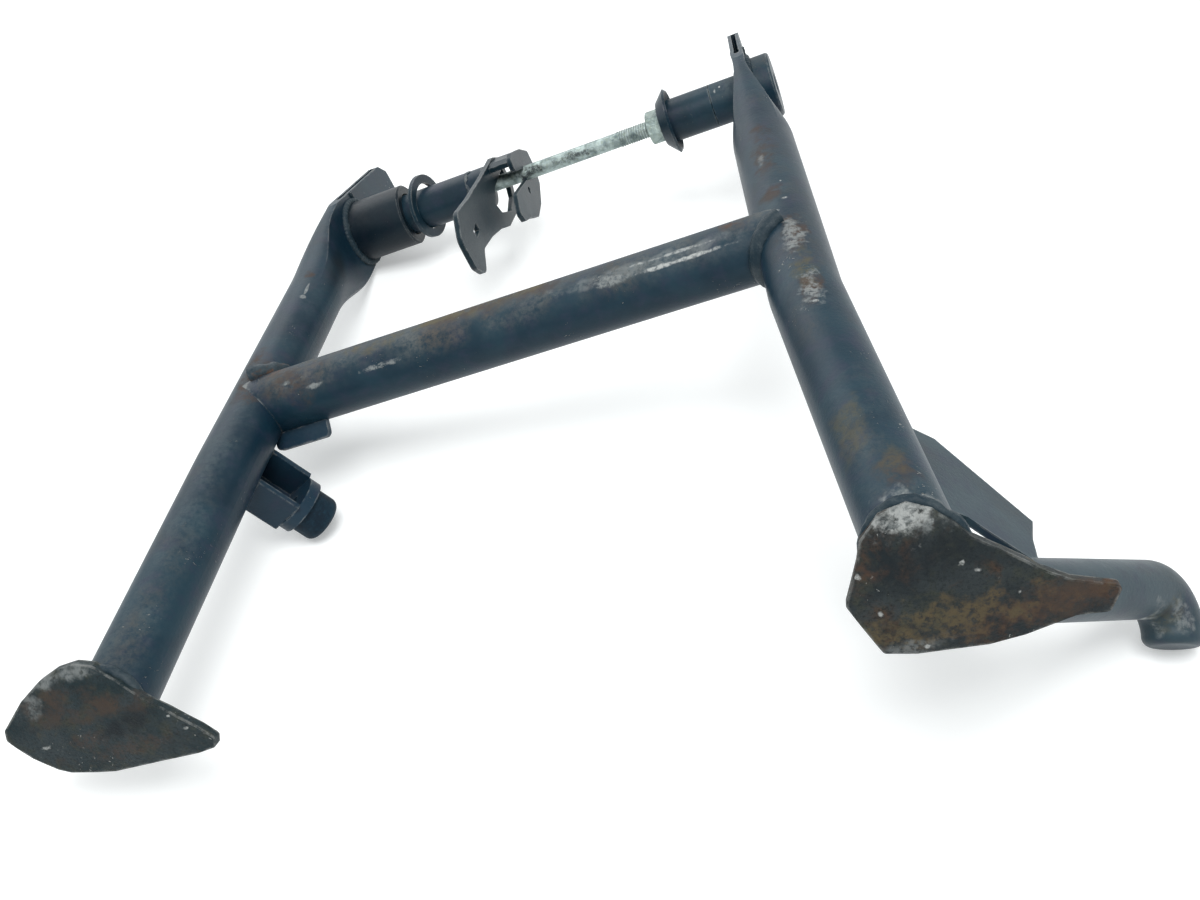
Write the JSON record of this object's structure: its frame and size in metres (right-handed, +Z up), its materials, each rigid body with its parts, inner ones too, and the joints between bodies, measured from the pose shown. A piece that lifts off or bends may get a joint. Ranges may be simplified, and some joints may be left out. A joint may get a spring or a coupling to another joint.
{
  "type": "motorcycle centre stand",
  "caption": "Welded tube centre stand of a motorcycle with foot plates, bent pedal tube, rubber stop and loose pivot hardware.",
  "frame": {"origin": "on the ground, under the middle of the stand's bounding box as it lies on its back", "axes": "+Z up from the ground, +X across towards the pedal tube's side, +Y along the ground from the feet to the pivot"},
  "size_m": [0.4968, 0.4808, 0.1491],
  "materials": {
    "painted_steel": "worn satin",
    "rusty_steel": "rusty",
    "zinc": "satin",
    "rubber": "matte"
  },
  "bodies": {
    "stand": {"leg_left": "painted_steel", "leg_right": "painted_steel", "cross_tube": "painted_steel", "ear_left": "painted_steel", "ear_right": "painted_steel", "boss_left": "painted_steel", "collar_right": "painted_steel", "stub_right": "painted_steel", "foot_plate_left": "rusty_steel", "foot_plate_right": "rusty_steel", "tang_tube": "painted_steel", "tang_gusset": "painted_steel", "stop_bracket": "painted_steel", "stop_cup": "painted_steel", "stop_rubber": "rubber", "cross_tab": "painted_steel"},
    "left_sleeve": {"sleeve_left": "painted_steel", "bush_left": "painted_steel", "washer_left": "painted_steel"},
    "link_bracket": {"link_plate_a": "painted_steel", "link_plate_b": "painted_steel", "link_web": "painted_steel"},
    "rod": {"pivot_rod": "zinc", "pivot_nut": "zinc"},
    "right_sleeve": {"sleeve_right": "painted_steel", "cup_washer": "painted_steel"}
  },
  "joints": [
    {"name": "left_sleeve_turn", "type": "hinge", "parent": "stand", "child": "left_sleeve", "pos_m": [-0.12631, 0.16583, 0.03119], "axis": [0.9771, 0, 0.213], "continuous": true},
    {"name": "link_swing", "type": "hinge", "parent": "rod", "child": "link_bracket", "pos_m": [-0.04912, 0.16583, 0.04801], "axis": [0.9771, 0, 0.213], "continuous": true},
    {"name": "rod_turn", "type": "hinge", "parent": "left_sleeve", "child": "rod", "pos_m": [-0.01101, 0.16583, 0.05632], "axis": [0.9771, 0, 0.213], "continuous": true},
    {"name": "right_sleeve_turn", "type": "hinge", "parent": "stand", "child": "right_sleeve", "pos_m": [0.06422, 0.16583, 0.07272], "axis": [0.9771, 0, 0.213], "continuous": true}
  ]
}
